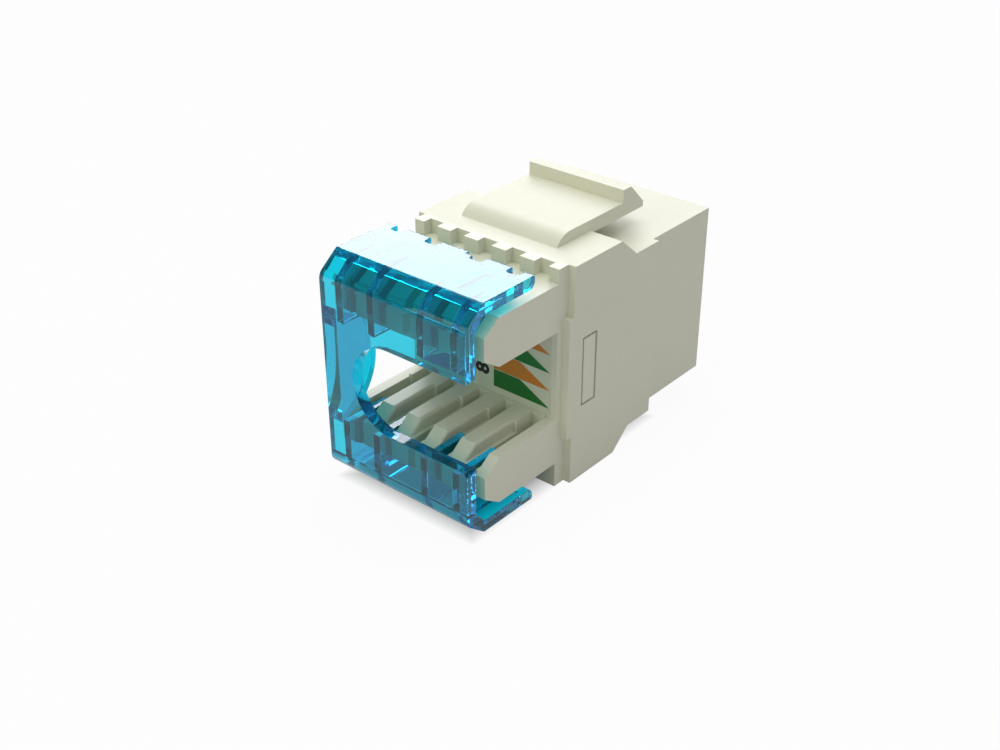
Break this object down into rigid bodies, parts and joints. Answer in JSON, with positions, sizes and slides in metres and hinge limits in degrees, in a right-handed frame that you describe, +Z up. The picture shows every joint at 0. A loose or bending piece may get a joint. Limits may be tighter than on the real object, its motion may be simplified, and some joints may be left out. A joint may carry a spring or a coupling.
{
  "type": "keystone jack",
  "caption": "Snap-in panel jack with a modular plug port, a sprung latch, a punch-down wire block and a translucent pull-off wire cap.",
  "frame": {"origin": "centre of the jack's length and width, on the plane of its underside", "axes": "+X across the width, to the side on which the cap's cable slot is open; +Y out of the plug port; +Z up, to the latch"},
  "size_m": [0.0144, 0.0282, 0.0195],
  "materials": {
    "housing_plastic": "ivory moulded plastic, satin",
    "block_plastic": "ivory moulded plastic, satin",
    "cap_plastic": "clear blue polycarbonate, polished",
    "label_print": "printed polyester label",
    "board": "green solder mask",
    "carrier_plastic": "ivory moulded plastic, satin",
    "plug_contact": "gold plate on spring wire, polished",
    "idc_contact": "tin plate on spring strip, satin"
  },
  "bodies": {
    "jack": {"housing": "housing_plastic", "idc_block": "block_plastic", "wiring_label": "label_print", "circuit_board": "board", "contact_carrier": "carrier_plastic", "plug_contact_1": "plug_contact", "plug_contact_2": "plug_contact", "plug_contact_3": "plug_contact", "plug_contact_4": "plug_contact", "plug_contact_5": "plug_contact", "plug_contact_6": "plug_contact", "plug_contact_7": "plug_contact", "plug_contact_8": "plug_contact", "idc_contact_1": "idc_contact", "idc_contact_2": "idc_contact", "idc_contact_3": "idc_contact", "idc_contact_4": "idc_contact", "idc_contact_5": "idc_contact", "idc_contact_6": "idc_contact", "idc_contact_7": "idc_contact", "idc_contact_8": "idc_contact"},
    "cap": {"wire_cap": "cap_plastic"}
  },
  "joints": [
    {"name": "cap_slide", "type": "slide", "parent": "jack", "child": "cap", "axis": [0, -1, 0], "range_m": [0, 0.012]}
  ]
}
